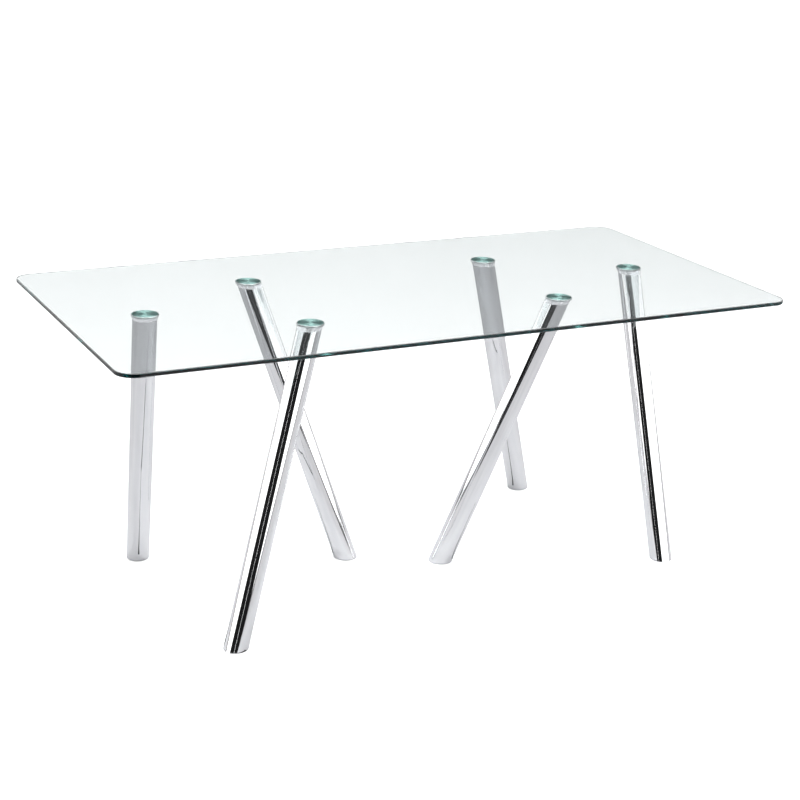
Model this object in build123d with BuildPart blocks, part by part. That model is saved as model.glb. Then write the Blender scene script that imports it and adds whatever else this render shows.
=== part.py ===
"""Glass dining table on two tripods of leaning chromed tube legs.

One rectangular pane of toughened glass rests on six turned metal discs that are bonded to
its underside. Under each disc a tube leg leans away at the same angle, and the three legs
of each tripod lean round their common centre, so that they pass each other without
touching. A levelling glide screws into the foot of every leg.

Millimetres, +Z up. The origin is on the floor under the middle of the pane, with +X along
the length of the table and +Y towards its rear long side.
"""

from build123d import *
import os
from dataclasses import dataclass
from math import cos, radians, sin, tan

# ---------------------------------------------------------------- overall sizes
TABLE_LENGTH = 1800.0
TABLE_WIDTH = 884.0
TABLE_HEIGHT = 760.0

# ---------------------------------------------------------------- glass pane
GLASS_THICKNESS = 10.0
GLASS_CORNER_RADIUS = 45.0
GLASS_ARRIS = 1.5  # ground flat along both edges of the rim

# ---------------------------------------------------------------- where the legs stand
END_OVERHANG = 206.0  # end of the pane to the centre of the outer disc
TRIPOD_RADIUS = 231.0  # tripod centre to each of its disc centres
LEG_TILT = 20.0  # degrees from upright
LEG_TWIST = 91.0  # degrees that a leg leans round from pointing outwards
OUTER_LEFT_TWIST = 103.0  # this one leg was tightened a little further round

# ---------------------------------------------------------------- leg tube
TUBE_DIAMETER = 60.0
TUBE_WALL = 2.0
TUBE_FLOOR_GAP = 1.5  # tube end to the floor with the glide screwed right in

# ---------------------------------------------------------------- bonded disc and neck
BOND_THICKNESS = 0.2
BOND_MARGIN = 1.0  # the film stops short of the flat of the disc
DISC_THICKNESS = 4.0
DISC_LIP = 2.0  # disc rim beyond the slanted section of the tube
DISC_RIM_CHAMFER = 1.0
DISC_SKIN = 3.0  # metal left over the blind hole
BOSS_DIAMETER = 22.0
NECK_HEIGHT = 10.0
NECK_INSET = 1.0  # top of the neck inside the disc rim
NECK_BOSS_PLAY = 0.5

# ---------------------------------------------------------------- stud and washer
STUD_DIAMETER = 8.0
STUD_TIP_PLAY = 0.5  # stud end to the bottom of the blind hole
STUD_TAIL = 2.0  # stud showing under the top plug
WASHER_THICKNESS = 2.0
WASHER_DIAMETER = 14.5
WASHER_BORE_PLAY = 0.2

# ---------------------------------------------------------------- welded plugs
TOP_PLUG_THICKNESS = 10.0
FOOT_PLUG_THICKNESS = 10.0
FOOT_NUT_FLATS = 13.0
FOOT_NUT_HEIGHT = 6.5

# ---------------------------------------------------------------- levelling glide
GLIDE_TRAVEL = 8.0
GLIDE_THREAD_DIAMETER = 8.0
GLIDE_THREAD_PLAY = 0.05  # radial, between the stem and its thread
GLIDE_RIM_PLAY = 4.0  # sole to the bore of the tube
GLIDE_TOP_PLAY = 0.5  # flange to the foot plug when screwed right in
GLIDE_FLANGE_THICKNESS = 3.0
GLIDE_STEM_SPARE = 5.0  # stem above the nut at full travel
SOLE_BASE = 2.5
SOLE_RIM_WALL = 1.5
SOLE_RIM_HEIGHT = 1.5
SOLE_EDGE_CHAMFER = 0.5

# ---------------------------------------------------------------- worked out from the above
SLANT = 1.0 / cos(radians(LEG_TILT))  # stretch of a level cut through a tilted tube
LEAN_RATE = tan(radians(LEG_TILT))  # sideways shift for each millimetre down
TRIPOD_OFFSET = TABLE_LENGTH / 2 - END_OVERHANG - TRIPOD_RADIUS

GLASS_UNDERSIDE = TABLE_HEIGHT - GLASS_THICKNESS
DISC_TOP = GLASS_UNDERSIDE - BOND_THICKNESS
DISC_UNDERSIDE = DISC_TOP - DISC_THICKNESS
NECK_UNDERSIDE = DISC_UNDERSIDE - NECK_HEIGHT
BOSS_UNDERSIDE = NECK_UNDERSIDE + WASHER_THICKNESS
TOP_PLUG_UNDERSIDE = NECK_UNDERSIDE - TOP_PLUG_THICKNESS
BLIND_HOLE_TOP = DISC_TOP - DISC_SKIN

TUBE_RADIUS = TUBE_DIAMETER / 2
BORE_RADIUS = TUBE_RADIUS - TUBE_WALL
STUD_RADIUS = STUD_DIAMETER / 2
DISC_RADIUS = TUBE_RADIUS * SLANT + DISC_LIP
BOND_RADIUS = DISC_RADIUS - DISC_RIM_CHAMFER - BOND_MARGIN

STEM_RADIUS = GLIDE_THREAD_DIAMETER / 2
STEM_HOLE_RADIUS = STEM_RADIUS + GLIDE_THREAD_PLAY
SOLE_RADIUS = BORE_RADIUS - GLIDE_RIM_PLAY
FLANGE_RADIUS = SOLE_RADIUS - SOLE_RIM_WALL
FLANGE_TOP = SOLE_BASE + GLIDE_FLANGE_THICKNESS
FOOT_PLUG_UNDERSIDE = FLANGE_TOP + GLIDE_TOP_PLAY
FOOT_PLUG_TOP = FOOT_PLUG_UNDERSIDE + FOOT_PLUG_THICKNESS
FOOT_NUT_TOP = FOOT_PLUG_TOP + FOOT_NUT_HEIGHT
STEM_TOP = FOOT_NUT_TOP + GLIDE_TRAVEL + GLIDE_STEM_SPARE


@dataclass(frozen=True)
class Leg:
    """One leg: its name, its tripod (-1 left, 1 right), and its bearing in the tripod."""

    name: str
    tripod: int
    bearing: float
    twist: float = LEG_TWIST

    @property
    def heading(self) -> float:
        """Level direction, in degrees from +X, in which the foot lies from the disc."""
        return self.bearing - self.twist

    @property
    def disc_centre(self) -> tuple[float, float]:
        """Plan position of the disc, where the tube's axis meets the glass."""
        bearing = radians(self.bearing)
        return (
            self.tripod * TRIPOD_OFFSET + TRIPOD_RADIUS * cos(bearing),
            TRIPOD_RADIUS * sin(bearing),
        )

    def axis_point(self, height: float) -> tuple[float, float, float]:
        """Point on the tube's axis at a height above the floor."""
        lean = (GLASS_UNDERSIDE - height) * LEAN_RATE
        heading = radians(self.heading)
        x, y = self.disc_centre
        return (x + lean * cos(heading), y + lean * sin(heading), height)

    def _plane(self, x: float, y: float, height: float) -> Plane:
        """Level plane with its x along the lean."""
        heading = radians(self.heading)
        return Plane(origin=(x, y, height), x_dir=(cos(heading), sin(heading), 0))

    def level_plane(self, height: float) -> Plane:
        """Level plane centred on the tube's axis."""
        return self._plane(*self.axis_point(height))

    def upright_plane(self, height: float) -> Plane:
        """Level plane centred under the disc."""
        return self._plane(*self.disc_centre, height)

    def foot_plane(self, height: float) -> Plane:
        """Level plane centred over the point where the tube's axis meets the floor."""
        x, y, _ = self.axis_point(0)
        return self._plane(x, y, height)

    def square_plane(self) -> Plane:
        """Plane square to the tube's axis, halfway down the leg."""
        top = Vector(self.axis_point(GLASS_UNDERSIDE))
        foot = Vector(self.axis_point(0))
        return Plane(origin=(top + foot) * 0.5, z_dir=(top - foot).normalized())


LEGS = [
    Leg("left_outer", -1, 180, OUTER_LEFT_TWIST),
    Leg("left_rear", -1, 60),
    Leg("left_front", -1, -60),
    Leg("right_rear", 1, 120),
    Leg("right_front", 1, -120),
    Leg("right_outer", 1, 0),
]

os.makedirs("parts", exist_ok=True)

# ---------------------------------------------------------------- glass top
with BuildPart() as glass_top:
    with BuildSketch(Plane.XY.offset(GLASS_UNDERSIDE)):
        RectangleRounded(TABLE_LENGTH, TABLE_WIDTH, GLASS_CORNER_RADIUS)
    extrude(amount=GLASS_THICKNESS)
    rim_edges = glass_top.faces().filter_by(Axis.Z).edges()
    chamfer(rim_edges, GLASS_ARRIS)
glass_top.part.label = "glass_top"
export_step(glass_top.part, "parts/glass_top.step")


# ---------------------------------------------------------------- pieces of one leg
def mounting_disc(leg: Leg) -> Part:
    """Turned disc that is bonded to the glass, with a blind threaded boss under it."""
    with BuildPart() as disc:
        with BuildSketch(leg.upright_plane(DISC_UNDERSIDE)):
            Circle(DISC_RADIUS)
        extrude(amount=DISC_THICKNESS)
        chamfer(disc.faces().sort_by(Axis.Z)[-1].edges(), DISC_RIM_CHAMFER)
        with BuildSketch(leg.upright_plane(BOSS_UNDERSIDE)):
            Circle(BOSS_DIAMETER / 2)
        extrude(amount=DISC_UNDERSIDE - BOSS_UNDERSIDE)
        with BuildSketch(leg.upright_plane(BOSS_UNDERSIDE)):
            Circle(STUD_RADIUS)
        extrude(amount=BLIND_HOLE_TOP - BOSS_UNDERSIDE, mode=Mode.SUBTRACT)
    return disc.part


def leg_neck(leg: Leg) -> Part:
    """Tapered collar that runs from the round disc to the slanted end of the tube."""
    with BuildPart() as neck:
        with BuildSketch(leg.level_plane(NECK_UNDERSIDE)):
            Ellipse(TUBE_RADIUS * SLANT, TUBE_RADIUS)
        with BuildSketch(leg.upright_plane(DISC_UNDERSIDE)):
            Circle(DISC_RADIUS - NECK_INSET)
        loft()
        with BuildSketch(leg.upright_plane(NECK_UNDERSIDE)):
            Circle(BOSS_DIAMETER / 2 + NECK_BOSS_PLAY)
        extrude(amount=NECK_HEIGHT, mode=Mode.SUBTRACT)
    return neck.part


def leg_tube(leg: Leg) -> Part:
    """Round tube with both ends cut level."""
    with BuildPart() as tube:
        with BuildSketch(leg.square_plane()):
            Circle(TUBE_RADIUS)
            Circle(BORE_RADIUS, mode=Mode.SUBTRACT)
        extrude(amount=TABLE_HEIGHT * SLANT / 2 + TUBE_DIAMETER, both=True)
        split(bisect_by=Plane.XY.offset(NECK_UNDERSIDE), keep=Keep.BOTTOM)
        split(bisect_by=Plane.XY.offset(TUBE_FLOOR_GAP), keep=Keep.TOP)
    return tube.part


def welded_plug(leg: Leg, underside: float, top: float, hole_plane: Plane, hole_radius: float) -> Part:
    """Level plate that fills the bore of the tilted tube, with an upright hole."""
    with BuildPart() as plug:
        with BuildSketch(leg.square_plane()):
            Circle(BORE_RADIUS)
        extrude(amount=TABLE_HEIGHT * SLANT / 2 + TUBE_DIAMETER, both=True)
        split(bisect_by=Plane.XY.offset(top), keep=Keep.BOTTOM)
        split(bisect_by=Plane.XY.offset(underside), keep=Keep.TOP)
        with BuildSketch(hole_plane):
            Circle(hole_radius)
        extrude(amount=top - underside, mode=Mode.SUBTRACT)
    return plug.part


def glide_stem(leg: Leg) -> Part:
    """Threaded stem with the steel flange that stands in the sole."""
    with BuildPart() as stem:
        with BuildSketch(leg.foot_plane(SOLE_BASE)):
            Circle(FLANGE_RADIUS)
        extrude(amount=GLIDE_FLANGE_THICKNESS)
        with BuildSketch(leg.foot_plane(FLANGE_TOP)):
            Circle(STEM_RADIUS)
        extrude(amount=STEM_TOP - FLANGE_TOP)
    return stem.part


def glide_sole(leg: Leg) -> Part:
    """Plastic cup under the flange, the only piece that touches the floor."""
    with BuildPart() as sole:
        with BuildSketch(leg.foot_plane(0)):
            Circle(SOLE_RADIUS)
        extrude(amount=SOLE_BASE + SOLE_RIM_HEIGHT)
        with BuildSketch(leg.foot_plane(SOLE_BASE)):
            Circle(FLANGE_RADIUS)
        extrude(amount=SOLE_RIM_HEIGHT, mode=Mode.SUBTRACT)
        chamfer(sole.faces().sort_by(Axis.Z)[0].edges(), SOLE_EDGE_CHAMFER)
    return sole.part


for leg in LEGS:
    pieces = {
        "mounting_disc": mounting_disc(leg),
        "leg_neck": leg_neck(leg),
        "leg_tube": leg_tube(leg),
        "top_plug": welded_plug(
            leg, TOP_PLUG_UNDERSIDE, NECK_UNDERSIDE, leg.upright_plane(TOP_PLUG_UNDERSIDE), STUD_RADIUS
        ),
        "foot_plug": welded_plug(
            leg, FOOT_PLUG_UNDERSIDE, FOOT_PLUG_TOP, leg.foot_plane(FOOT_PLUG_UNDERSIDE), STEM_HOLE_RADIUS
        ),
        "glide_stem": glide_stem(leg),
        "glide_sole": glide_sole(leg),
    }
    for piece_name, piece in pieces.items():
        piece.label = f"{piece_name}_{leg.name}"
        export_step(piece, f"parts/{piece.label}.step")

# ---------------------------------------------------------------- bond films, one on each disc
with BuildPart() as bond_films:
    for leg in LEGS:
        with BuildSketch(leg.upright_plane(DISC_TOP)):
            Circle(BOND_RADIUS)
        extrude(amount=BOND_THICKNESS)
bond_films.part.label = "bond_films"
export_step(bond_films.part, "parts/bond_films.step")

# ---------------------------------------------------------------- studs, top plug to disc boss
with BuildPart() as leg_studs:
    for leg in LEGS:
        with BuildSketch(leg.upright_plane(TOP_PLUG_UNDERSIDE - STUD_TAIL)):
            Circle(STUD_RADIUS)
        extrude(amount=BLIND_HOLE_TOP - STUD_TIP_PLAY - TOP_PLUG_UNDERSIDE + STUD_TAIL)
leg_studs.part.label = "leg_studs"
export_step(leg_studs.part, "parts/leg_studs.step")

# ---------------------------------------------------------------- lock washers, plug to boss
with BuildPart() as lock_washers:
    for leg in LEGS:
        with BuildSketch(leg.upright_plane(NECK_UNDERSIDE)):
            Circle(WASHER_DIAMETER / 2)
            Circle(STUD_RADIUS + WASHER_BORE_PLAY, mode=Mode.SUBTRACT)
        extrude(amount=WASHER_THICKNESS)
lock_washers.part.label = "lock_washers"
export_step(lock_washers.part, "parts/lock_washers.step")

# ---------------------------------------------------------------- weld nuts on the foot plugs
with BuildPart() as foot_nuts:
    for leg in LEGS:
        with BuildSketch(leg.foot_plane(FOOT_PLUG_TOP)):
            RegularPolygon(FOOT_NUT_FLATS / 2, 6, major_radius=False)
            Circle(STEM_HOLE_RADIUS, mode=Mode.SUBTRACT)
        extrude(amount=FOOT_NUT_HEIGHT)
foot_nuts.part.label = "foot_nuts"
export_step(foot_nuts.part, "parts/foot_nuts.step")
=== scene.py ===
"""Looks for a glass dining table: a clear pane on two twisted tripods of chromed tube legs.

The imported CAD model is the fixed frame. The pieces that show are built again here as smooth
meshes, in the places that the frame gives: the pane, and for each leg the turned disc, the
collar, the tube and the sole of the levelling glide. The hidden hardware stays as CAD nodes
and gets finishes of its own. Sizes are in metres. Every piece's object sits at the origin.
"""

import logging
import math
from dataclasses import dataclass, field
from enum import Enum
from typing import Callable, Iterable, Sequence

import bmesh
import bpy
from mathutils import Matrix, Vector


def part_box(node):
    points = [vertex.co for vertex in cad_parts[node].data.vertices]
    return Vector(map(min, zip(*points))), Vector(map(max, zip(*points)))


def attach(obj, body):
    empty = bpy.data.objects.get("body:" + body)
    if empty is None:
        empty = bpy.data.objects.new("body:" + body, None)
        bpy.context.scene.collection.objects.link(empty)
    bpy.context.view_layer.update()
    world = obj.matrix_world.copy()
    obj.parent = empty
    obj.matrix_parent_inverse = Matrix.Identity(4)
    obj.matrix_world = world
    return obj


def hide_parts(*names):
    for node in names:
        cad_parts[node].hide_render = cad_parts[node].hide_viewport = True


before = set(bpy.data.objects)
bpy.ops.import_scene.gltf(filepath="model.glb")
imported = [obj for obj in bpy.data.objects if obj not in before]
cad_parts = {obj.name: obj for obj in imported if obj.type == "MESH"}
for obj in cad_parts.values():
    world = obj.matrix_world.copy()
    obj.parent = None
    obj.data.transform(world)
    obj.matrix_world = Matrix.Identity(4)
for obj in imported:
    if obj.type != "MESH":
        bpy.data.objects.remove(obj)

MM = 0.001
LEG_NAMES = ("left_outer", "left_rear", "left_front", "right_rear", "right_front", "right_outer")
TABLE_BODY = "table"
LEG_FRAME = "leg_frame"
DISC_FRAME = "disc_frame"
LOG = logging.getLogger("glass_table")

# The values that most of a noise pattern lies between.
NOISE_LOW, NOISE_HIGH = 0.25, 0.75
# How many radians a wave texture of scale 1 turns in a metre.
WAVE_RADIANS = 20.0
# The angles in degrees between which two faces count as square to each other.
SQUARE = (80, 100)
# How many steps the studio's round surfaces have.
ROUND_STEPS = 64
# Points of a mesh that are nearer than this are one point.
MERGE_DISTANCE = 0.001 * MM

Profile = Sequence[tuple[float, float]]


class Slot(Enum):
    """The record's material slots, one of which each new piece carries."""

    GLASS = "clear_glass"
    TURNED = "turned_steel"
    CHROME = "chromed_steel"
    PLASTIC = "grey_plastic"


class NodeBoard:
    """A material's node tree, with short calls to add nodes and join them."""

    def __init__(self, name: str) -> None:
        """Makes an empty node material.

        Args:
            name: the material's name.
        """
        self.material = bpy.data.materials.new(name)
        self.material.use_nodes = True
        self.tree = self.material.node_tree
        self.tree.nodes.clear()
        self.output = self.add("ShaderNodeOutputMaterial")

    def add(self, kind: str, **settings: object) -> bpy.types.Node:
        """Adds a node.

        Args:
            kind: the node's Blender type.
            settings: the node's own properties by name.

        Returns:
            The new node.
        """
        node = self.tree.nodes.new(kind)
        for key, value in settings.items():
            setattr(node, key, value)
        return node

    def link(self, source: bpy.types.NodeSocket, target: bpy.types.NodeSocket) -> None:
        """Joins an output socket to an input socket."""
        self.tree.links.new(source, target)

    def principled(self, **values: object) -> bpy.types.Node:
        """Adds the surface shader and joins it to the output.

        Args:
            values: socket values, with spaces in a socket's name written as underscores.

        Returns:
            The Principled node.
        """
        shader = self.add("ShaderNodeBsdfPrincipled")
        for key, value in values.items():
            shader.inputs[key.replace("_", " ")].default_value = value
        self.link(shader.outputs["BSDF"], self.output.inputs["Surface"])
        return shader

    def object_places(self, scale: Sequence[float] = (1, 1, 1)) -> bpy.types.NodeSocket:
        """Gives the piece's Object coordinates.

        Args:
            scale: how much finer the pattern is along each axis.

        Returns:
            The vector socket to read.
        """
        places = self.add("ShaderNodeTexCoord")
        return self._mapped(places.outputs["Object"], scale)

    def attribute_places(self, name: str,
                         scale: Sequence[float] = (1, 1, 1)) -> bpy.types.NodeSocket:
        """Gives the places that a piece carries in an attribute of its own.

        Args:
            name: the attribute's name.
            scale: how much finer the pattern is along each axis.

        Returns:
            The vector socket to read.
        """
        places = self.add("ShaderNodeAttribute", attribute_name=name)
        return self._mapped(places.outputs["Vector"], scale)

    def _mapped(self, source: bpy.types.NodeSocket,
                scale: Sequence[float]) -> bpy.types.NodeSocket:
        """Scales a vector, and returns the socket of the scaled one."""
        mapping = self.add("ShaderNodeMapping")
        mapping.inputs["Scale"].default_value = scale
        self.link(source, mapping.inputs["Vector"])
        return mapping.outputs["Vector"]

    def noise(self, places: bpy.types.NodeSocket, scale: float,
              detail: float = 3.0) -> bpy.types.NodeSocket:
        """Adds a noise pattern.

        Args:
            places: the vector socket that it reads.
            scale: how many features there are in a metre.
            detail: how many finer layers it has.

        Returns:
            The pattern's value socket.
        """
        node = self.add("ShaderNodeTexNoise")
        node.inputs["Scale"].default_value = scale
        node.inputs["Detail"].default_value = detail
        self.link(places, node.inputs["Vector"])
        return node.outputs["Fac"]

    def spread(self, value: bpy.types.NodeSocket, low: float, high: float) -> bpy.types.NodeSocket:
        """Turns a pattern into the numbers from low to high.

        Args:
            value: the pattern.
            low: what the pattern's low value becomes.
            high: what its high value becomes.

        Returns:
            The result's socket.
        """
        node = self.add("ShaderNodeMapRange")
        limits = {"From Min": NOISE_LOW, "From Max": NOISE_HIGH, "To Min": low, "To Max": high}
        for key, number in limits.items():
            node.inputs[key].default_value = number
        self.link(value, node.inputs["Value"])
        return node.outputs["Result"]

    def tint(self, value: bpy.types.NodeSocket, low: Sequence[float],
             high: Sequence[float]) -> bpy.types.NodeSocket:
        """Turns a pattern into colours between two.

        Args:
            value: the pattern.
            low: the colour at the pattern's low value.
            high: the colour at its high value.

        Returns:
            The colour socket.
        """
        node = self.add("ShaderNodeValToRGB")
        stops = ((NOISE_LOW, low), (NOISE_HIGH, high))
        for element, (place, colour) in zip(node.color_ramp.elements, stops):
            element.position = place
            element.color = (*colour, 1.0)
        self.link(value, node.inputs["Fac"])
        return node.outputs["Color"]

    def relief(self, shader: bpy.types.Node,
               heights: Iterable[tuple[bpy.types.NodeSocket, float]]) -> None:
        """Gives a shader a fine relief.

        Args:
            shader: the Principled node.
            heights: each pattern with its height in metres.
        """
        below = None
        for pattern, height in heights:
            bump = self.add("ShaderNodeBump")
            bump.inputs["Strength"].default_value = 1.0
            bump.inputs["Distance"].default_value = height
            self.link(pattern, bump.inputs["Height"])
            if below is not None:
                self.link(below, bump.inputs["Normal"])
            below = bump.outputs["Normal"]
        self.link(below, shader.inputs["Normal"])


@dataclass(frozen=True)
class FloatGlass:
    """Clear toughened float glass, which is green through its depth and has a faint roller wave."""

    name: str = "float_glass"
    index: float = 1.52
    depth_colour: tuple[float, float, float] = (0.16, 0.50, 0.51)
    depth_density: float = 8.5
    clarity: tuple[float, float, float] = (1.0, 1.0, 1.0)
    roughness: float = 0.0
    wave_height: float = 0.000004
    wave_stretch: tuple[float, float, float] = (1.0, 0.25, 1.0)
    waves_per_metre: float = 5.0

    def build(self) -> bpy.types.Material:
        """Makes the material, and returns it."""
        board = NodeBoard(self.name)
        shader = board.principled(Base_Color=(*self.clarity, 1), Roughness=self.roughness,
                                  IOR=self.index, Transmission_Weight=1.0)
        wave = board.noise(board.object_places(self.wave_stretch), self.waves_per_metre, 1.0)
        board.relief(shader, [(wave, self.wave_height)])
        depth = board.add("ShaderNodeVolumeAbsorption")
        depth.inputs["Color"].default_value = (*self.depth_colour, 1.0)
        depth.inputs["Density"].default_value = self.depth_density
        board.link(depth.outputs["Volume"], board.output.inputs["Volume"])
        return board.material


@dataclass(frozen=True)
class ChromePlate:
    """Bright chrome on drawn tube, with faint drawing lines along the tube and thin wiped haze."""

    name: str = "chrome_plate"
    dark: tuple[float, float, float] = (0.90, 0.90, 0.915)
    light: tuple[float, float, float] = (0.96, 0.96, 0.97)
    roughness: tuple[float, float] = (0.025, 0.06)
    metal: float = 1.0
    haze_stretch: tuple[float, float, float] = (1, 1, 0.15)
    hazes_per_metre: float = 60.0
    line_stretch: tuple[float, float, float] = (1, 1, 0.01)
    lines_per_metre: float = 900.0
    line_height: float = 0.0000022
    swell_stretch: tuple[float, float, float] = (1, 1, 0.12)
    swells_per_metre: float = 28.0
    swell_height: float = 0.00004

    def build(self) -> bpy.types.Material:
        """Makes the material, and returns it."""
        board = NodeBoard(self.name)
        shader = board.principled(Metallic=self.metal)
        haze = self._pattern(board, self.haze_stretch, self.hazes_per_metre, 4.0)
        board.link(board.tint(haze, self.dark, self.light), shader.inputs["Base Color"])
        board.link(board.spread(haze, *self.roughness), shader.inputs["Roughness"])
        lines = self._pattern(board, self.line_stretch, self.lines_per_metre, 2.0)
        swell = self._pattern(board, self.swell_stretch, self.swells_per_metre, 1.0)
        board.relief(shader, [(swell, self.swell_height), (lines, self.line_height)])
        return board.material

    @staticmethod
    def _pattern(board: NodeBoard, stretch: Sequence[float], scale: float,
                 detail: float) -> bpy.types.NodeSocket:
        """Adds a noise pattern that follows the leg.

        Args:
            board: the material's node board.
            stretch: how much finer it is along each axis of the leg's frame.
            scale: how many features there are in a metre.
            detail: how many finer layers it has.

        Returns:
            The pattern's value socket.
        """
        return board.noise(board.attribute_places(LEG_FRAME, stretch), scale, detail)


@dataclass(frozen=True)
class TurnedSteel:
    """Stainless steel faced on a lathe, whose fine rings spread the light along the radius."""

    name: str = "turned_steel"
    dark: tuple[float, float, float] = (0.76, 0.78, 0.78)
    light: tuple[float, float, float] = (0.90, 0.92, 0.92)
    # Painted shade: the dark green that the face bonded to the glass is multiplied by, standing in
    # for the light that the glass absorbs.
    bonded: tuple[float, float, float] = (0.37, 0.54, 0.51)
    painted_shade_above: float = 4.1 * MM
    roughness: tuple[float, float] = (0.48, 0.54)
    stretch: float = 1.0
    ring_height: float = 0.000002
    ring_radians_per_metre: float = 1200.0
    ring_wander: float = 0.4
    grains_per_metre: float = 400.0

    def build(self) -> bpy.types.Material:
        """Makes the material, and returns it."""
        board = NodeBoard(self.name)
        shader = board.principled(Metallic=1.0, Anisotropic=self.stretch)
        places = board.attribute_places(DISC_FRAME)
        rings = board.add("ShaderNodeTexWave", wave_type="RINGS", rings_direction="Z",
                          wave_profile="SIN")
        rings.inputs["Scale"].default_value = self.ring_radians_per_metre / WAVE_RADIANS
        rings.inputs["Distortion"].default_value = self.ring_wander
        board.link(places, rings.inputs["Vector"])
        grain = board.noise(places, self.grains_per_metre)
        board.link(self._painted_glass_shade(board, places, grain), shader.inputs["Base Color"])
        board.link(board.spread(grain, *self.roughness), shader.inputs["Roughness"])
        board.relief(shader, [(rings.outputs["Fac"], self.ring_height)])
        outwards = board.add("ShaderNodeVectorMath", operation="NORMALIZE")
        board.link(board.attribute_places(DISC_FRAME, (1, 1, 0)), outwards.inputs[0])
        board.link(outwards.outputs["Vector"], shader.inputs["Tangent"])
        return board.material

    def _painted_glass_shade(self, board: NodeBoard, places: bpy.types.NodeSocket,
                           grain: bpy.types.NodeSocket) -> bpy.types.NodeSocket:
        """Paints a green shade on the face that is bonded to the glass, standing in for the light
        that the green glass absorbs, and leaves the bare metal as it is.

        Args:
            board: the material's node board.
            places: places in the disc's own frame.
            grain: the pattern of the bare metal's tone.

        Returns:
            The colour socket.
        """
        apart = board.add("ShaderNodeSeparateXYZ")
        board.link(places, apart.inputs["Vector"])
        above = board.add("ShaderNodeMath", operation="GREATER_THAN")
        above.inputs[1].default_value = self.painted_shade_above
        board.link(apart.outputs["Z"], above.inputs[0])
        mixed = board.add("ShaderNodeMix", data_type="RGBA", blend_type="MULTIPLY")
        board.link(above.outputs["Value"], mixed.inputs["Factor"])
        board.link(board.tint(grain, self.dark, self.light), mixed.inputs["A"])
        # Painted shade: darkens the bonded face and turns it green, as the glass does to the light.
        mixed.inputs["B"].default_value = (*self.bonded, 1.0)
        return mixed.outputs["Result"]


@dataclass(frozen=True)
class Metal:
    """A plain working metal with a cloudy tone and a fine relief, and a thread if it has one."""

    name: str
    dark: tuple[float, float, float]
    light: tuple[float, float, float]
    roughness: tuple[float, float]
    grain: tuple[float, float, float] = (1.0, 1.0, 1.0)
    grains_per_metre: float = 300.0
    clouds_per_metre: float = 80.0
    relief: float = 0.000008
    thread_pitch: float = 0.0
    thread_depth: float = 0.3

    def build(self) -> bpy.types.Material:
        """Makes the material, and returns it."""
        board = NodeBoard(self.name)
        shader = board.principled(Metallic=1.0)
        clouds = board.noise(board.object_places(), self.clouds_per_metre, 4.0)
        board.link(board.tint(clouds, self.dark, self.light), shader.inputs["Base Color"])
        board.link(board.spread(clouds, *self.roughness), shader.inputs["Roughness"])
        grain = board.noise(board.object_places(self.grain), self.grains_per_metre)
        heights = [(grain, self.relief)]
        if self.thread_pitch:
            thread = board.add("ShaderNodeTexWave", bands_direction="Z", wave_profile="TRI")
            thread.inputs["Scale"].default_value = math.tau / (WAVE_RADIANS * self.thread_pitch)
            board.link(board.object_places(), thread.inputs["Vector"])
            heights.append((thread.outputs["Fac"], self.thread_depth * self.thread_pitch))
        board.relief(shader, heights)
        return board.material


@dataclass(frozen=True)
class ClearBond:
    """Cured clear adhesive, slightly cloudy."""

    name: str = "clear_bond"
    colour: tuple[float, float, float] = (0.97, 0.99, 0.98)
    index: float = 1.5
    roughness: tuple[float, float] = (0.03, 0.12)
    clouds_per_metre: float = 150.0
    relief: float = 0.00001

    def build(self) -> bpy.types.Material:
        """Makes the material, and returns it."""
        board = NodeBoard(self.name)
        shader = board.principled(Base_Color=(*self.colour, 1.0), IOR=self.index,
                                  Transmission_Weight=1.0)
        cloud = board.noise(board.object_places(), self.clouds_per_metre)
        board.link(board.spread(cloud, *self.roughness), shader.inputs["Roughness"])
        board.relief(shader, [(cloud, self.relief)])
        return board.material


@dataclass(frozen=True)
class MouldedPlastic:
    """Moulded polyamide with a fine spark-eroded grain and scuffs where it stands."""

    name: str = "moulded_plastic"
    dark: tuple[float, float, float] = (0.13, 0.13, 0.135)
    light: tuple[float, float, float] = (0.20, 0.20, 0.205)
    index: float = 1.53
    roughness: tuple[float, float] = (0.42, 0.62)
    scuffs_per_metre: float = 120.0
    grains_per_metre: float = 2500.0
    relief: float = 0.00002

    def build(self) -> bpy.types.Material:
        """Makes the material, and returns it."""
        board = NodeBoard(self.name)
        shader = board.principled(IOR=self.index)
        places = board.object_places()
        scuffs = board.noise(places, self.scuffs_per_metre, 5.0)
        board.link(board.tint(scuffs, self.dark, self.light), shader.inputs["Base Color"])
        board.link(board.spread(scuffs, *self.roughness), shader.inputs["Roughness"])
        board.relief(shader, [(board.noise(places, self.grains_per_metre, 2.0), self.relief)])
        return board.material


@dataclass(frozen=True)
class StageFinish:
    """A matt or glowing surface of the studio.

    One that is mirrored only is clear to light that has met no mirror on its way, so it can't
    be seen straight through the pane.
    """

    name: str
    colour: tuple[float, float, float]
    glow: float = 0.0
    mottle: float = 0.0
    mirrored_only: bool = False
    roughness: float = 0.9
    clouds_per_metre: float = 1.7

    def build(self) -> bpy.types.Material:
        """Makes the material, and returns it."""
        board = NodeBoard(self.name)
        shader = board.principled(Roughness=self.roughness, Emission_Strength=self.glow)
        if self.mirrored_only:
            path = board.add("ShaderNodeLightPath")
            board.link(path.outputs["Glossy Depth"], shader.inputs["Alpha"])
        shade = tuple(part * (1.0 - self.mottle) for part in self.colour)
        clouds = board.noise(board.object_places(), self.clouds_per_metre, 2.0)
        tone = board.tint(clouds, shade, self.colour)
        target = "Emission Color" if self.glow else "Base Color"
        board.link(tone, shader.inputs[target])
        if self.glow:
            shader.inputs["Base Color"].default_value = (0, 0, 0, 1)
            shader.inputs["Specular IOR Level"].default_value = 0.0
        return board.material


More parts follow.
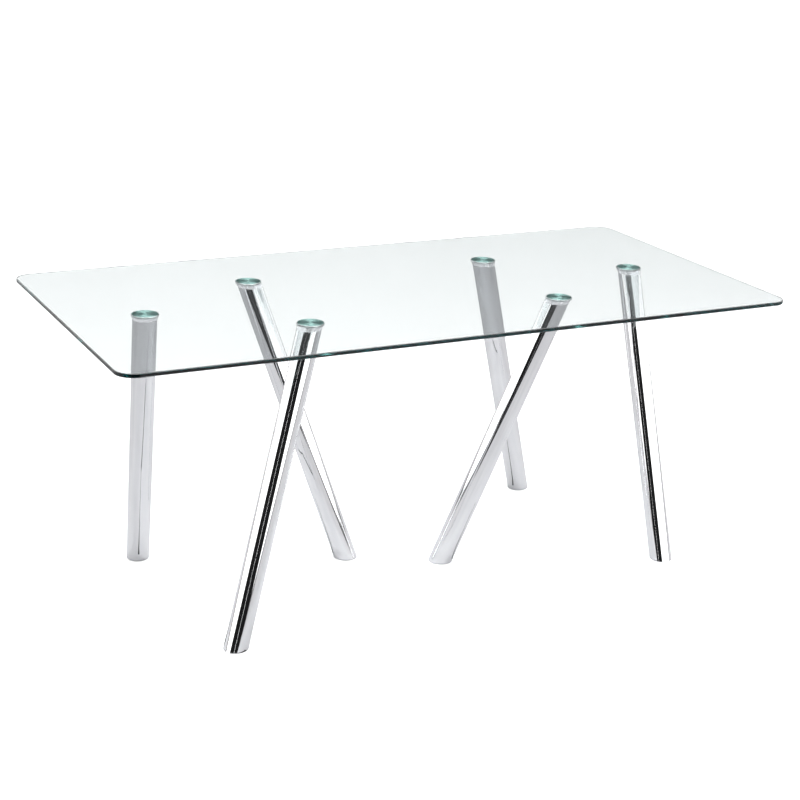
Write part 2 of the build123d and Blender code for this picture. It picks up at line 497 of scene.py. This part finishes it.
class Shape:
    """A mesh in the making, with the operations that the pieces share."""

    def __init__(self) -> None:
        """Starts an empty bmesh."""
        self.bm = bmesh.new()

    def turn(self, profile: Profile, segments: int) -> None:
        """Spins a profile about Z into a closed round body.

        Args:
            profile: radius and height of each point.
            segments: how many steps a full turn has.
        """
        points = [self.bm.verts.new((radius, 0, height)) for radius, height in profile]
        line = [self.bm.edges.new(pair) for pair in zip(points, points[1:])]
        if min(profile[0][0], profile[-1][0]) > 0:
            line.append(self.bm.edges.new((points[-1], points[0])))
        bmesh.ops.spin(self.bm, geom=points + line, cent=(0, 0, 0), axis=(0, 0, 1), dvec=(0, 0, 0),
                       angle=math.tau, steps=segments, use_merge=True, use_duplicate=False)

    def sheet(self, length: float, width: float) -> None:
        """Makes a flat rectangle about the origin, with its length along X."""
        bmesh.ops.create_grid(self.bm, x_segments=1, y_segments=1, size=0.5)
        self.place(Matrix.Diagonal((length, width, 1, 1)))

    def disc(self, radius: float) -> None:
        """Makes a flat round disc about the origin."""
        bmesh.ops.create_circle(self.bm, cap_ends=True, radius=radius, segments=ROUND_STEPS)

    def soften(self, low: float, high: float, width: float, segments: int,
               chosen: Callable[[bmesh.types.BMEdge], bool] = lambda edge: True) -> None:
        """Bevels the edges whose faces meet at an angle between two limits.

        Args:
            low: the smallest angle in degrees.
            high: the largest angle in degrees.
            width: the bevel's width.
            segments: its number of steps.
            chosen: a further test that an edge has to pass.
        """
        self.bm.normal_update()
        edges = [edge for edge in self.bm.edges if len(edge.link_faces) == 2 and chosen(edge)
                 and math.radians(low) <= edge.calc_face_angle() <= math.radians(high)]
        bmesh.ops.bevel(self.bm, geom=edges, offset=width, offset_type="OFFSET", affect="EDGES",
                        segments=segments, profile=0.5, material=-1, clamp_overlap=True)

    def seal(self) -> None:
        """Merges doubled points and turns every face outwards."""
        bmesh.ops.remove_doubles(self.bm, verts=self.bm.verts, dist=MERGE_DISTANCE)
        bmesh.ops.recalc_face_normals(self.bm, faces=self.bm.faces)

    def place(self, matrix: Matrix,
              chosen: Callable[[Vector], bool] = lambda point: True) -> None:
        """Moves the shape by a matrix.

        Args:
            matrix: the move.
            chosen: tells by its place whether a point goes along.
        """
        moved = [vert for vert in self.bm.verts if chosen(vert.co)]
        bmesh.ops.transform(self.bm, matrix=matrix, verts=moved)

    def mark(self, name: str, to_local: Matrix) -> None:
        """Stores each point's place in a frame of its own.

        Args:
            name: the attribute's name.
            to_local: the matrix from the table's frame to that one.
        """
        layer = self.bm.verts.layers.float_vector.new(name)
        for vert in self.bm.verts:
            vert[layer] = to_local @ vert.co


@dataclass
class Piece:
    """What a finished shape is called, what it rides on and which CAD nodes it stands for."""

    name: str
    body: str
    slot: Slot
    nodes: tuple[str, ...]
    sharp_degrees: float = 12.0

    def make(self, shape: Shape, material: bpy.types.Material) -> bpy.types.Object:
        """Turns the shape into an object that rides on its body.

        Args:
            shape: the finished shape.
            material: its finish.

        Returns:
            The new object.
        """
        shape.seal()
        mesh = bpy.data.meshes.new(self.name)
        shape.bm.to_mesh(mesh)
        shape.bm.free()
        mesh.shade_smooth()
        mesh.set_sharp_from_angle(angle=math.radians(self.sharp_degrees))
        mesh.materials.append(material)
        made = bpy.data.objects.new(self.name, mesh)
        bpy.context.scene.collection.objects.link(made)
        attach(made, self.body)
        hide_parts(*self.nodes)
        LOG.info("%s: %d faces, rides on %s", self.name, len(mesh.polygons), self.body)
        return made


@dataclass
class GlassPane:
    """The table's top, one pane with rounded corners and an arrised rim."""

    material: bpy.types.Material
    ground: bpy.types.Material
    node: str = "glass_top"
    corner_radius: float = 45 * MM
    corner_steps: int = 32
    arris: float = 1.5 * MM
    arris_softening: float = 0.3 * MM
    arris_rise: tuple[float, float] = (0.3, 0.95)

    def build(self) -> None:
        """Makes the pane from the frame's box of it."""
        low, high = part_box(self.node)
        size = high - low
        shape = Shape()
        place = Matrix.Translation((low + high) / 2) @ Matrix.Diagonal((*size, 1.0))
        bmesh.ops.create_cube(shape.bm, size=1.0, matrix=place)
        shape.soften(*SQUARE, self.corner_radius, self.corner_steps, self._is_upright)
        shape.soften(*SQUARE, self.arris, 1)
        shape.soften(40, 50, self.arris_softening, 2)
        least, most = self.arris_rise
        for face in shape.bm.faces:
            face.material_index = int(least < abs(face.normal.z) < most)
        made = Piece("glass_pane", TABLE_BODY, Slot.GLASS, (self.node,)).make(shape, self.material)
        made.data.materials.append(self.ground)

    @staticmethod
    def _is_upright(edge: bmesh.types.BMEdge) -> bool:
        """Says whether an edge runs up and down."""
        first, second = edge.verts
        run = first.co - second.co
        return abs(run.z) > abs(run.x) + abs(run.y)


@dataclass
class LegSite:
    """Where one leg stands, read from the frame."""

    name: str
    top: Vector = field(init=False)
    foot: Vector = field(init=False)
    disc_radius: float = field(init=False)
    disc_top: float = field(init=False)
    disc_bottom: float = field(init=False)
    boss_bottom: float = field(init=False)
    tube_top: float = field(init=False)
    tube_bottom: float = field(init=False)
    sole_top: float = field(init=False)

    def __post_init__(self) -> None:
        """Reads the boxes of the leg's nodes."""
        disc_low, disc_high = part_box(self.node("mounting_disc"))
        neck_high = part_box(self.node("leg_neck"))[1]
        tube_low, tube_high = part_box(self.node("leg_tube"))
        sole_low, sole_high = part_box(self.node("glide_sole"))
        pane_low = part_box("glass_top")[0]
        self.top = Vector((*self._middle(disc_low, disc_high), pane_low.z))
        self.foot = Vector((*self._middle(sole_low, sole_high), sole_low.z))
        self.disc_radius = (disc_high.x - disc_low.x) / 2
        self.disc_top = disc_high.z
        self.disc_bottom = neck_high.z
        self.boss_bottom = disc_low.z
        self.tube_top = tube_high.z
        self.tube_bottom = tube_low.z
        self.sole_top = sole_high.z

    @staticmethod
    def _middle(low: Vector, high: Vector) -> tuple[float, float]:
        """Gives the middle of a box as seen from above."""
        return (low.x + high.x) / 2, (low.y + high.y) / 2

    def node(self, part: str) -> str:
        """Gives the name of this leg's CAD node of a part."""
        return f"{part}_{self.name}"

    @property
    def lean(self) -> float:
        """The angle between the leg and a plumb line."""
        across = self.foot - self.top
        return math.atan2(math.hypot(across.x, across.y), -across.z)

    @property
    def standing(self) -> Matrix:
        """The matrix to the table's frame from one at the foot, whose X is the leg's heading."""
        across = self.foot - self.top
        heading = math.atan2(across.y, across.x)
        return Matrix.Translation(self.foot) @ Matrix.Rotation(heading, 4, "Z")

    @property
    def slant(self) -> Matrix:
        """The shear that leans an upright tube over the foot, with level ends and a round bore."""
        slope = math.tan(self.lean)
        return Matrix(((1.0 / math.cos(self.lean), 0, -slope, slope * self.foot.z),
                       (0, 1, 0, 0), (0, 0, 1, 0), (0, 0, 0, 1)))

    @property
    def along(self) -> Matrix:
        """The matrix from the table's frame to one at the foot whose Z runs up the leg."""
        return (self.standing @ Matrix.Rotation(-self.lean, 4, "Y")).inverted()

    def shift(self, height: float) -> float:
        """Gives the leg's axis along the standing frame's X at a height."""
        return -(height - self.foot.z) * math.tan(self.lean)


@dataclass
class ChromedLeg:
    """One leg: the turned disc, the collar under it, the tube and the sole of its glide."""

    site: LegSite
    chrome: bpy.types.Material
    satin: bpy.types.Material
    turned: bpy.types.Material
    plastic: bpy.types.Material
    segments: int = 128
    tube_radius: float = 30 * MM
    tube_wall: float = 2 * MM
    tube_lip: float = 0.35 * MM
    disc_chamfer: float = 1.0 * MM
    disc_edge: float = 0.15 * MM
    disc_sharp_depth: float = 0.5 * MM
    bonded_margin: float = 1.0 * MM
    optical_contact: float = 0.02 * MM
    centre_mark: float = 0.9 * MM
    centre_depth: float = 0.35 * MM
    boss_radius: float = 11 * MM
    thread_radius: float = 4.05 * MM
    thread_skin: float = 3 * MM
    collar_inset: float = 1.0 * MM
    collar_play: float = 0.5 * MM
    sole_radius: float = 24 * MM
    sole_base: float = 2.5 * MM
    sole_rim: float = 1.5 * MM
    sole_edge: float = 0.5 * MM
    sole_softening: float = 0.12 * MM
    sole_groove: tuple[float, float, float] = (14 * MM, 17 * MM, 0.6 * MM)
    tube: bpy.types.Object = field(init=False)

    def build(self) -> None:
        """Makes the leg's pieces from the top down."""
        self._disc()
        self._collar()
        self._tube()
        self._sole()

    def _disc(self) -> None:
        """Turns the disc with its boss, a blind threaded hole and a lathe's centre mark."""
        site = self.site
        flat = site.disc_radius - self.disc_chamfer
        bonded = flat - self.bonded_margin
        top = site.disc_top
        contact = site.top.z + self.optical_contact
        ceiling = top - self.thread_skin
        shape = Shape()
        shape.turn([
            (0.0, contact - self.centre_depth), (self.centre_mark, contact), (bonded, contact),
            (bonded, top), (flat, top), (site.disc_radius, top - self.disc_chamfer),
            (site.disc_radius, site.disc_bottom), (self.boss_radius, site.disc_bottom),
            (self.boss_radius, site.boss_bottom), (self.thread_radius, site.boss_bottom),
            (self.thread_radius, ceiling), (0.0, ceiling)], self.segments)
        shape.seal()
        sharp_above = top - self.disc_sharp_depth
        shape.soften(60, 100, self.disc_edge, 2, lambda edge: edge.verts[0].co.z < sharp_above)
        shape.place(Matrix.Translation((site.top.x, site.top.y, 0.0)))
        shape.mark(DISC_FRAME, Matrix.Translation((-site.top.x, -site.top.y, -site.disc_bottom)))
        nodes = (site.node("mounting_disc"),)
        Piece(f"turned_disc_{site.name}", TABLE_BODY, Slot.TURNED, nodes).make(shape, self.turned)

    def _collar(self) -> None:
        """Turns the collar, then leans its lower rim over to the tube's level cut."""
        site = self.site
        middle = (site.tube_top + site.disc_bottom) / 2
        bore = self.boss_radius + self.collar_play
        upright = Matrix.Translation((site.shift(site.top.z), 0, 0))
        shape = Shape()
        shape.turn([
            (self.tube_radius, site.tube_top),
            (site.disc_radius - self.collar_inset, site.disc_bottom),
            (bore, site.disc_bottom), (bore, site.tube_top)], self.segments)
        shape.seal()
        shape.place(upright.inverted() @ site.slant,
                    lambda point: point.z < middle and point.xy.length > bore + self.tube_wall)
        shape.place(upright)
        shape.place(site.standing)
        shape.mark(LEG_FRAME, site.along)
        nodes = (site.node("leg_neck"),)
        Piece(f"collar_{site.name}", TABLE_BODY, Slot.CHROME, nodes).make(shape, self.satin)

    def _tube(self) -> None:
        """Turns the tube upright and leans it over, so that both ends are cut level."""
        site = self.site
        outer, inner = self.tube_radius, self.tube_radius - self.tube_wall
        shape = Shape()
        shape.turn([(outer, site.tube_bottom), (outer, site.tube_top), (inner, site.tube_top),
                    (inner, site.tube_bottom)], self.segments)
        shape.seal()
        shape.place(site.slant)
        shape.soften(50, 130, self.tube_lip, 3)
        shape.place(site.standing)
        shape.mark(LEG_FRAME, site.along)
        nodes = (site.node("leg_tube"),)
        piece = Piece(f"tube_{site.name}", TABLE_BODY, Slot.CHROME, nodes)
        self.tube = piece.make(shape, self.chrome)

    def _sole(self) -> None:
        """Turns the glide's sole, a shallow cup with a moulded groove underneath."""
        site = self.site
        floor, edge = site.foot.z, self.sole_edge
        groove_in, groove_out, depth = self.sole_groove
        inside = self.sole_radius - self.sole_rim
        shape = Shape()
        shape.turn([
            (0.0, floor), (groove_in, floor), (groove_in, floor + depth),
            (groove_out, floor + depth), (groove_out, floor), (self.sole_radius - edge, floor),
            (self.sole_radius, floor + edge), (self.sole_radius, site.sole_top),
            (inside, site.sole_top),
            (inside, floor + self.sole_base), (0.0, floor + self.sole_base)], self.segments)
        shape.seal()
        shape.soften(40, 100, self.sole_softening, 2)
        shape.place(Matrix.Translation((site.foot.x, site.foot.y, 0.0)))
        nodes = (site.node("glide_sole"),)
        body = f"glide_{site.name}"
        Piece(f"sole_{site.name}", body, Slot.PLASTIC, nodes).make(shape, self.plastic)


@dataclass
class Hardware:
    """The hidden fixings, which stay as CAD nodes and get their finishes here."""

    finishes: dict[str, bpy.types.Material]

    def dress(self) -> None:
        """Gives every CAD node that still shows the finish of its kind."""
        for name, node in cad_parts.items():
            if node.hide_render:
                continue
            finish = next(made for kind, made in self.finishes.items() if name.startswith(kind))
            node.data.materials.clear()
            node.data.materials.append(finish)
            LOG.info("%s: CAD node, %s", name, finish.name)


@dataclass
class Card:
    """An upright card that only mirrors see, in front of the pane or through it."""

    name: str
    start: tuple[float, float]
    end: tuple[float, float]
    bottom: float
    top: float
    finish: StageFinish

    def build(self) -> None:
        """Stands the card between its two ends."""
        first, last = Vector((*self.start, self.bottom)), Vector((*self.end, self.bottom))
        run = last - first
        height = self.top - self.bottom
        shape = Shape()
        shape.sheet(run.length, height)
        shape.place(Matrix.Rotation(math.pi / 2, 4, "X"))
        shape.place(Matrix.Rotation(math.atan2(run.y, run.x), 4, "Z"))
        shape.place(Matrix.Translation((first + last) / 2 + Vector((0, 0, height / 2))))
        made = stage_object(self.name, shape, self.finish.build())
        only_in_mirrors(made)
        made.visible_transmission = True


@dataclass
class Strip:
    """A dark strip on the floor that only mirrors see."""

    name: str
    start: tuple[float, float]
    end: tuple[float, float]
    width: float
    finish: StageFinish
    rise: float = 1.0 * MM

    def build(self) -> None:
        """Lays the strip between the middles of its two ends."""
        first, last = Vector((*self.start, self.rise)), Vector((*self.end, self.rise))
        run = last - first
        shape = Shape()
        shape.sheet(run.length, self.width)
        shape.place(Matrix.Rotation(math.atan2(run.y, run.x), 4, "Z"))
        shape.place(Matrix.Translation((first + last) / 2))
        only_in_mirrors(stage_object(self.name, shape, self.finish.build()))


def stage_object(name: str, shape: Shape, material: bpy.types.Material) -> bpy.types.Object:
    """Makes an object of the studio.

    Args:
        name: the object's name.
        shape: its shape.
        material: its finish.

    Returns:
        The new object.
    """
    mesh = bpy.data.meshes.new(name)
    shape.bm.to_mesh(mesh)
    shape.bm.free()
    mesh.materials.append(material)
    made = bpy.data.objects.new(name, mesh)
    bpy.context.scene.collection.objects.link(made)
    return made


def only_in_mirrors(made: bpy.types.Object) -> None:
    """Lets an object of the studio show in reflections and nowhere else."""
    made.visible_camera = False
    made.visible_diffuse = False
    made.visible_transmission = False
    made.visible_volume_scatter = False
    made.visible_shadow = False


@dataclass
class Studio:
    """The pale floor, the soft light, the cards that the chrome mirrors, and the camera."""

    blockers: list[bpy.types.Object]
    sky_strength: float = 1.8
    floor_radius: float = 40.0
    floor_finish: StageFinish = StageFinish("pale_floor", (0.93, 0.93, 0.93), mottle=0.01)
    mirror_floor_radius: float = 4.5
    mirror_floor_rise: float = 0.2 * MM
    mirror_floor_finish: StageFinish = StageFinish(
        "mirrored_floor", (0.345, 0.345, 0.355), mottle=0.18)
    horizon_height: float = 0.14
    horizon_finish: StageFinish = StageFinish("dim_horizon", (0.09, 0.09, 0.09), glow=1.0)
    black: StageFinish = StageFinish(
        "black_card", (0.018, 0.018, 0.019), glow=1.0, mottle=0.6, mirrored_only=True)
    dark: StageFinish = StageFinish(
        "dark_backdrop", (0.13, 0.13, 0.133), glow=1.0, mottle=0.3, mirrored_only=True)
    # Painted shadow: the glowing dark of the thin floor lines that stand for the legs' shadows in
    # the chrome.
    line: StageFinish = StageFinish("painted_shadow_line", (0.03, 0.03, 0.03), glow=1.0, mottle=0.3)
    softbox_size: float = 4.0
    softbox_height: float = 3.2
    softbox_power: float = 250.0
    lamp_size: float = 0.45
    lamp_place: tuple[float, float, float] = (0.0, 0.0, 3.0)
    lamp_power: float = 28.0
    camera_place: tuple[float, float, float] = (-1.9890, -3.8650, 1.9399)
    camera_yaw: float = 27.279
    camera_pitch: float = 18.861
    camera_roll: float = 2.207
    lens: float = 78.55
    sensor: float = 36.0
    most_bounces: int = 32
    most_trapped_bounces: int = 28

    def build(self) -> None:
        """Makes the whole studio."""
        self._sky()
        self._floors()
        self._cards()
        self._softbox()
        self._camera()
        self._bounces()

    def _sky(self) -> None:
        """Surrounds the table with even white light."""
        world = bpy.data.worlds.new("white_studio")
        world.use_nodes = True
        back = world.node_tree.nodes["Background"]
        back.inputs["Color"].default_value = (1, 1, 1, 1)
        back.inputs["Strength"].default_value = self.sky_strength
        bpy.context.scene.world = world
        bpy.context.scene.view_settings.view_transform = "Standard"

    def _floors(self) -> None:
        """Lays the pale floor, and the greyer one with a dim rim that only mirrors see."""
        shape = Shape()
        shape.disc(self.floor_radius)
        floor = stage_object("floor", shape, self.floor_finish.build())
        floor.visible_glossy = False
        shape = Shape()
        shape.disc(self.mirror_floor_radius)
        shape.place(Matrix.Translation((0, 0, self.mirror_floor_rise)))
        mirrored = stage_object("mirror_floor", shape, self.mirror_floor_finish.build())
        only_in_mirrors(mirrored)
        self._lamp(mirrored)
        shape = Shape()
        radius, height = self.mirror_floor_radius, self.horizon_height
        bmesh.ops.create_cone(shape.bm, cap_ends=False, radius1=radius, radius2=radius,
                              depth=height, segments=ROUND_STEPS,
                              matrix=Matrix.Translation((0, 0, height / 2)))
        only_in_mirrors(stage_object("horizon_strip", shape, self.horizon_finish.build()))

    def _cards(self) -> None:
        """Stands the cards and lays the strips that draw dark bands and lines down the legs; the
        thin lines are painted shadows of the legs on the floor.

        Two black cards stand in front, and the gap between them gives the light line in the
        bands. The card behind the table greys the pane.
        """
        for flat in (
                Card("black_card_right", (-0.48, -3.70), (-1.697, -2.073), 0.01, 2.2, self.black),
                Card("black_card_left", (-1.722, -2.040), (-2.50, -1.00), 0.01, 2.2, self.black),
                Strip("black_foot", (-0.16, -3.46), (-2.18, -0.76), 0.8, self.black),
                # Painted shadows: thin dark strips along the floor where the legs' shadows fall,
                # seen only in the chrome.
                Strip("painted_shadow_under_left_outer", (-0.645, 0.215), (-0.703, -0.039), 0.009, self.line),
                Strip("painted_shadow_beyond_left_outer", (-0.703, -0.039), (-0.575, -0.37), 0.028, self.line),
                Strip("painted_shadow_under_right_rear", (0.545, 0.309), (0.28, 0.16), 0.009, self.line),
                Strip("painted_shadow_under_left_rear", (-0.15, 0.082), (-0.37, 0.213), 0.009, self.line),
                Strip("painted_shadow_under_right_front", (0.15, -0.082), (0.37, -0.213), 0.009, self.line),
                Card("dark_backdrop", (-0.4, 6.2), (5.9, 2.8), 1.6, 3.6, self.dark)):
            flat.build()

    def _lamp(self, mirrored: bpy.types.Object) -> None:
        """Hangs a small lamp that draws the legs' shadows on the floor in the mirrors.

        Args:
            mirrored: the floor that only mirrors see.
        """
        light = bpy.data.lights.new("shadow_lamp", "AREA")
        light.shape = "DISK"
        light.size = self.lamp_size
        light.energy = self.lamp_power
        lamp = bpy.data.objects.new("shadow_lamp", light)
        lamp.location = self.lamp_place
        bpy.context.scene.collection.objects.link(lamp)
        lamp.light_linking.receiver_collection = self._group("lit_by_lamp", [mirrored])
        lamp.light_linking.blocker_collection = self._group("shadows_of_lamp", self.blockers)

    @staticmethod
    def _group(name: str, members: Iterable[bpy.types.Object]) -> bpy.types.Collection:
        """Collects objects for the lamp's light or its shadows, and returns the collection."""
        group = bpy.data.collections.new(name)
        for member in members:
            group.objects.link(member)
        return group

    def _softbox(self) -> None:
        """Hangs a large soft light over the table."""
        light = bpy.data.lights.new("softbox", "AREA")
        light.shape = "SQUARE"
        light.size = self.softbox_size
        light.energy = self.softbox_power
        lamp = bpy.data.objects.new("softbox", light)
        lamp.location = (0, 0, self.softbox_height)
        lamp.visible_glossy = False
        lamp.visible_diffuse = False
        bpy.context.scene.collection.objects.link(lamp)

    def _bounces(self) -> None:
        """Lets light that is trapped in the pane run its whole width."""
        cycles = bpy.context.scene.cycles
        cycles.max_bounces = self.most_bounces
        cycles.glossy_bounces = self.most_trapped_bounces
        cycles.transmission_bounces = self.most_trapped_bounces

    def _camera(self) -> None:
        """Sets the camera up at the viewing angle."""
        yaw = math.radians(self.camera_yaw)
        pitch = math.radians(self.camera_pitch)
        roll = math.radians(self.camera_roll)
        lens = bpy.data.cameras.new("view")
        lens.lens = self.lens
        lens.sensor_width = self.sensor
        camera = bpy.data.objects.new("view", lens)
        turn = Matrix.Rotation(-yaw, 4, "Z") @ Matrix.Rotation(math.pi / 2 - pitch, 4, "X")
        place = Matrix.Translation(self.camera_place)
        camera.matrix_world = place @ turn @ Matrix.Rotation(roll, 4, "Z")
        bpy.context.scene.collection.objects.link(camera)
        bpy.context.scene.camera = camera


def main() -> None:
    """Builds the table's pieces around the frame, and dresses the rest."""
    logging.basicConfig(level=logging.INFO, format="%(message)s")
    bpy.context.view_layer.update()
    chrome = ChromePlate().build()
    turned = TurnedSteel().build()
    plastic = MouldedPlastic().build()
    ground = FloatGlass("ground_arris", clarity=(0.62, 0.66, 0.66), roughness=0.3)
    GlassPane(FloatGlass().build(), ground.build()).build()
    satin = ChromePlate("satin_chrome", dark=(0.95, 0.93, 0.96), light=(0.99, 0.98, 1.0),
                        roughness=(0.22, 0.30), metal=0.5).build()
    legs = [ChromedLeg(LegSite(name), chrome, satin, turned, plastic) for name in LEG_NAMES]
    for leg in legs:
        leg.build()
    zinc = Metal("bright_zinc", (0.60, 0.61, 0.63), (0.74, 0.75, 0.77), (0.22, 0.36))
    threaded = Metal("threaded_zinc", (0.58, 0.59, 0.61), (0.72, 0.73, 0.75), (0.24, 0.38),
                     thread_pitch=1.25 * MM)
    milled = Metal("milled_steel", (0.36, 0.36, 0.37), (0.52, 0.52, 0.52), (0.32, 0.5),
                   grain=(1.0, 0.08, 1.0))
    Hardware({
        "bond_films": ClearBond().build(),
        "leg_studs": threaded.build(),
        "glide_stem": threaded.build(),
        "lock_washers": zinc.build(),
        "foot_nuts": zinc.build(),
        "top_plug": milled.build(),
        "foot_plug": milled.build(),
    }).dress()
    Studio([leg.tube for leg in legs]).build()


if __name__ == "__main__":
    main()
